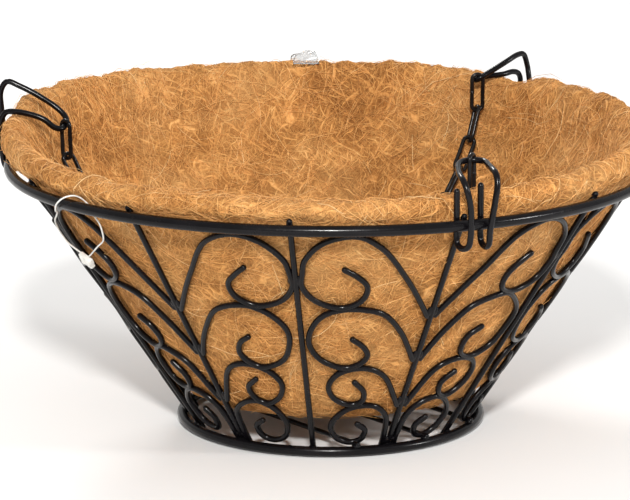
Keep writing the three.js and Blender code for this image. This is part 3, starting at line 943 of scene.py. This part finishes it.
def strands(name, t_lo, t_hi, count, seed, lift_share, max_out=None, about=None, lift_to=3.2):
    r = np.random.default_rng(seed)
    segs, sides = 8, 3
    # spread evenly over the stretch's surface
    tt = np.arange(t_lo, t_hi)
    area = np.linalg.norm(np.diff(G[A // 2, t_lo : t_hi + 1], axis=0), axis=1) * np.maximum(rad[A // 2, t_lo:t_hi], 1)
    t = r.choice(tt, count, p=area / area.sum()) + r.random(count)
    a = r.random(count) * A if about is None else ((r.normal(about[0], about[1], count) + 180) / 360 * A) % A
    length = r.gamma(5.0, 4.6, count) + 6
    phi = r.random(count) * 2 * math.pi
    kappa = r.normal(0, 0.022, count)
    thick = r.uniform(0.07, 0.16, count)
    tone = np.clip(r.normal(0.60, 0.14, count), 0.05, 1.0)
    base_h = r.uniform(0.02, 0.35, count)
    lift = np.where(r.random(count) < lift_share, r.uniform(0.8, lift_to, count), 0.0)
    centre = np.zeros((segs + 1, count, 3))
    for s_ in range(segs + 1):
        P_ = sample(G, a, t)
        N_ = sample(N2, a, t)
        N_ /= np.maximum(np.linalg.norm(N_, axis=1, keepdims=True), 1e-9)
        x = s_ / segs
        h_ = base_h + lift * x**2.2 + 0.25 * np.sin(x * math.pi * r.uniform(0.8, 1.2, count))
        h_ = h_ - 0.45 * (x < 0.01) - np.where(lift == 0, 0.45 * (x > 0.99), 0)
        centre[s_] = P_ + N_ * h_[:, None]
        step = length / segs
        ra = np.maximum(np.hypot(P_[:, 0], P_[:, 1]), 6)
        ti = np.clip(np.floor(t).astype(int), 1, T - 3)
        dl = np.linalg.norm(G[np.floor(a).astype(int) % A, ti + 1] - G[np.floor(a).astype(int) % A, ti], axis=1)
        a = a + step * np.cos(phi) / ra / (2 * math.pi) * A
        t = np.clip(t + step * np.sin(phi) / np.maximum(dl, 0.25), 1.5, T - 3.5)
        phi = phi + kappa * step + r.normal(0, 0.06, count)
    if max_out is not None:   # stay inside the wires' cone
        rr = np.hypot(centre[..., 0], centre[..., 1])
        cap = CONE_R0 + CONE_SLOPE * (centre[..., 2] - BASE_Z) + max_out
        k_ = np.where((rr > cap) & (centre[..., 2] < 142), cap / np.maximum(rr, 1), 1)
        centre[..., 0] *= k_
        centre[..., 1] *= k_
    tan = np.gradient(centre, axis=0)
    tan /= np.maximum(np.linalg.norm(tan, axis=2, keepdims=True), 1e-9)
    ref = np.broadcast_to(r.normal(size=(count, 3)), tan.shape)
    n1 = ref - (ref * tan).sum(2, keepdims=True) * tan
    n1 /= np.maximum(np.linalg.norm(n1, axis=2, keepdims=True), 1e-9)
    n2 = np.cross(tan, n1)
    taper = np.array([0.45] + [1.0] * (segs - 1) + [0.3])[:, None, None]
    w = thick[None, :, None] * taper
    rings = np.stack([centre + w * (math.cos(q) * n1 + math.sin(q) * n2) for q in (0, 2.094, 4.189)], 2)  # s, n, 3, 3
    verts = rings.transpose(1, 0, 2, 3).reshape(-1, 3)                # strand, step, side
    per_strand = (segs + 1) * sides
    base_i = (np.arange(count) * per_strand)[:, None, None]
    s_i = (np.arange(segs) * sides)[None, :, None]
    k_i = np.arange(sides)[None, None, :]
    k2 = (k_i + 1) % sides
    q1, q2 = base_i + s_i + k_i, base_i + s_i + k2
    quads = np.stack([q1, q2, q2 + sides, q1 + sides], -1).reshape(-1, 4)
    b0 = (np.arange(count) * per_strand)
    capsA = np.stack([b0 + 2, b0 + 1, b0, np.full(count, -1)], 1)
    e0 = b0 + segs * sides
    capsB = np.stack([e0, e0 + 1, e0 + 2, np.full(count, -1)], 1)
    b_ = Builder()
    b_.add(verts, np.concatenate([quads, capsA, capsB]), np.repeat(tone, per_strand))
    o_ = b_.object(name, fibre)
    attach(o_, "cradle")
    return o_


strands("coir_strands_outer", *REGION["outer"], 41, 0.10, max_out=-0.4)
strands("coir_strands_lip", *REGION["lip"], 42, 0.28)
strands("coir_strands_inner", *REGION["inner"], 43, 0.16)
strands("coir_strands_floor", *REGION["floors"], 44, 0.10)
strands("coir_tuft_left", edge[7], edge[11], 60, 45, 0.75, about=(-162, 3.5), lift_to=7.0)
strands("coir_tuft_back", edge[7], edge[11], 50, 46, 0.7, about=(112, 14), lift_to=4.5)
strands("coir_tuft_front", edge[7], edge[11], 60, 47, 0.6, about=(-60, 40), lift_to=4.0)

# ------------------------------------------------------------------ tag fastener
P = [(-97.6, 152.6, 110.2), (-99.5, 154.2, 112), (-102.4, 157.4, 115.8), (-103.4, 160.4, 121), (-101.4, 165.4, 128.2),
     (-97, 170.4, 135), (-93.6, 175.6, 139), (-91.2, 181.2, 142.2), (-89.8, 183.2, 146.6), (-88.4, 181.4, 150.4),
     (-87, 177, 151.4), (-85.6, 173, 147.6), (-84, 172.7, 142), (-83, 171.6, 138), (-83.7, 167.6, 132),
     (-85, 163.9, 126.6), (-88.5, 160, 121), (-91.5, 157, 116.5), (-94.8, 153.8, 112.2), (-96.6, 152.6, 110.2)]
b = Builder()
tube(b, even(catmull([polar(*p) for p in P], 300), 0.8), 0.45, sides=8)
a0 = -97.3
c0 = polar(a0, 152.4, 108)
et, er = et_of(a0), er_of(a0)
tilt = 33.3 * DEG
n_out = math.cos(tilt) * er - math.sin(tilt) * UP
n_up = math.sin(tilt) * er + math.cos(tilt) * UP
cr, sr = math.cos(0.35), math.sin(0.35)
ax, ay = cr * et - sr * n_up, sr * et + cr * n_up


def rounded_box(b_, centre, axes, half, radius, n=4):
    """A box with rounded edges, axes as rows."""
    axes = np.array(axes, float)
    half = np.array(half, float)
    grid = np.concatenate([np.sin(np.linspace(-math.pi / 2, 0, n + 1)) * radius - 0, np.sin(np.linspace(0, math.pi / 2, n + 1)) * radius])
    line_ = [np.concatenate([-(h_ - radius) + grid[: n + 1], (h_ - radius) + grid[n + 1 :]]) for h_ in half]
    m_ = 2 * n + 2
    for axis in range(3):
        o1, o2 = (axis + 1) % 3, (axis + 2) % 3
        for sign in (-1, 1):
            uu, vv_ = np.meshgrid(line_[o1], line_[o2], indexing="ij")
            pt = np.zeros((m_, m_, 3))
            pt[..., o1], pt[..., o2], pt[..., axis] = uu, vv_, sign * half[axis]
            core = np.clip(pt, -(half - radius), half - radius)
            d_ = pt - core
            d_ /= np.maximum(np.linalg.norm(d_, axis=2, keepdims=True), 1e-9)
            pt = core + d_ * radius
            idx = np.arange(m_ * m_).reshape(m_, m_)
            f_ = np.stack([idx[:-1, :-1], idx[1:, :-1], idx[1:, 1:], idx[:-1, 1:]], -1).reshape(-1, 4)
            if sign < 0:
                f_ = f_[:, ::-1]
            b_.add(pt.reshape(-1, 3) @ axes + centre, f_)


rounded_box(b, c0, (ax, n_out, ay), (4.6, 1.5, 3.5), 0.8)
rounded_box(b, c0 + ay * 1.2 + ax * 3.4 + n_out * 0.3, (ax, n_out, ay), (1.6, 1.9, 2.0), 0.6)
rounded_box(b, c0 - ax * 2.2 + n_out * 0.5, (ax, n_out, ay), (1.3, 1.5, 2.7), 0.5)
tag = b.object("tag_fastener", nylon)
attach(tag, "cradle")
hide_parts("tag_loop")

# ------------------------------------------------------------------ clear film loop
path = catmull([(RIM_R + q, 0, RIM_Z + h_) for q, h_ in [
    (2.6, -7.5), (4.6, -3), (5.4, 4), (4.2, 14), (1.5, 24), (-5, 31.4), (-11, 33.4), (-15.5, 30.8), (-17, 27.2)]], 90)
path = even(path, 1.1)
tanp = np.gradient(path, axis=0)
tanp /= np.linalg.norm(tanp, axis=1, keepdims=True)
wid = np.linspace(-1, 1, 17)
top, bot = [], []
for i, p in enumerate(path):
    n_ = np.array([-tanp[i, 2], 0, tanp[i, 0]])
    crown = min(1.0, max(0.0, (p[2] - RIM_Z - 19) / 14.5))
    w_ = 9.4 * math.sqrt(1 - 0.80 * crown**3) + 0.5 * math.sin(i * 0.33) + 0.3 * math.sin(i * 0.9 + 1)
    for q in wid:
        ripple = 0.7 * math.sin(i * 0.28 + q * 2.2) + 0.35 * math.sin(i * 0.71 - q * 3.4)
        y = q * w_ + 0.4 * math.sin(i * 0.4)
        c_ = p + n_ * ripple + np.array([0, y, 0])
        top.append(c_ + n_ * 0.18)
        bot.append(c_ - n_ * 0.18)
V = np.array(top + bot)
ca, sa = math.cos((147 - 90) * DEG), math.sin((147 - 90) * DEG)
V = np.stack([ca * V[:, 0] - sa * V[:, 1], sa * V[:, 0] + ca * V[:, 1], V[:, 2]], 1)
n_r, n_c = len(path), len(wid)
idx = np.arange(n_r * n_c).reshape(n_r, n_c)
f1 = np.stack([idx[:-1, :-1], idx[1:, :-1], idx[1:, 1:], idx[:-1, 1:]], -1).reshape(-1, 4)
f2 = f1[:, ::-1] + n_r * n_c
rim_i = np.concatenate([idx[0, :-1], idx[:-1, -1], idx[-1, :0:-1], idx[:0:-1, 0]])
nxt = np.roll(rim_i, -1)
f3 = np.stack([rim_i, nxt, nxt + n_r * n_c, rim_i + n_r * n_c], 1)
b = Builder()
b.add(V, np.concatenate([f1, f2, f3]))
loop = b.object("film_loop", film)
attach(loop, "cradle")
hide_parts("clear_loop")

# make the new pieces' faces point outwards, all but the felt liner and its loose fibres
import bmesh

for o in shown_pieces():
    if "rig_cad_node" in o or o.name == "coir_felt_liner" or o.name.startswith(("coir_strands", "coir_tuft")):
        continue
    bm = bmesh.new()
    bm.from_mesh(o.data)
    bmesh.ops.recalc_face_normals(bm, faces=bm.faces)
    bm.to_mesh(o.data)
    bm.free()

# ------------------------------------------------------------------ floor, light, world
fm, nt, bsdf = new_material("stage_floor")
co = node(nt, "ShaderNodeTexCoord").outputs["Object"]
nt.links.new(ramp(nt, noise(nt, co, 3, 3), [(0.3, (0.86, 0.86, 0.86)), (0.7, (0.90, 0.90, 0.90))]), bsdf.inputs["Base Color"])
bsdf.inputs["Roughness"].default_value = 0.85
bpy.ops.mesh.primitive_plane_add(size=14, location=(0, 0, -0.0005))
floor = bpy.context.object
floor.name = "stage_floor"
floor.data.materials.append(fm)

world = bpy.data.worlds.new("studio")
bpy.context.scene.world = world
world.use_nodes = True
world.node_tree.nodes["Background"].inputs["Color"].default_value = (1.0, 0.99, 0.975, 1)
world.node_tree.nodes["Background"].inputs["Strength"].default_value = 0.54


def area(name, location, target, size, power, colour=(1, 1, 1)):
    d_ = bpy.data.lights.new(name, "AREA")
    d_.shape = "DISK"
    d_.size = size
    d_.energy = power
    d_.color = colour
    o_ = bpy.data.objects.new(name, d_)
    o_.location = location
    o_.rotation_mode = "QUATERNION"
    o_.rotation_quaternion = (Vector(target) - Vector(location)).to_track_quat("-Z", "Y")
    bpy.context.scene.collection.objects.link(o_)


area("key", (-1.5, -1.9, 1.5), (0, 0, 0.08), 0.26, 72, (1.0, 0.985, 0.96))
area("fill", (1.2, -1.9, 0.9), (0, 0, 0.08), 0.35, 20, (1.0, 0.99, 0.98))
area("back", (0.6, 1.8, 1.6), (0, 0, 0.1), 0.6, 24, (1.0, 0.99, 0.97))

bpy.context.scene.view_settings.view_transform = "Standard"
bpy.context.scene.view_settings.look = "None"
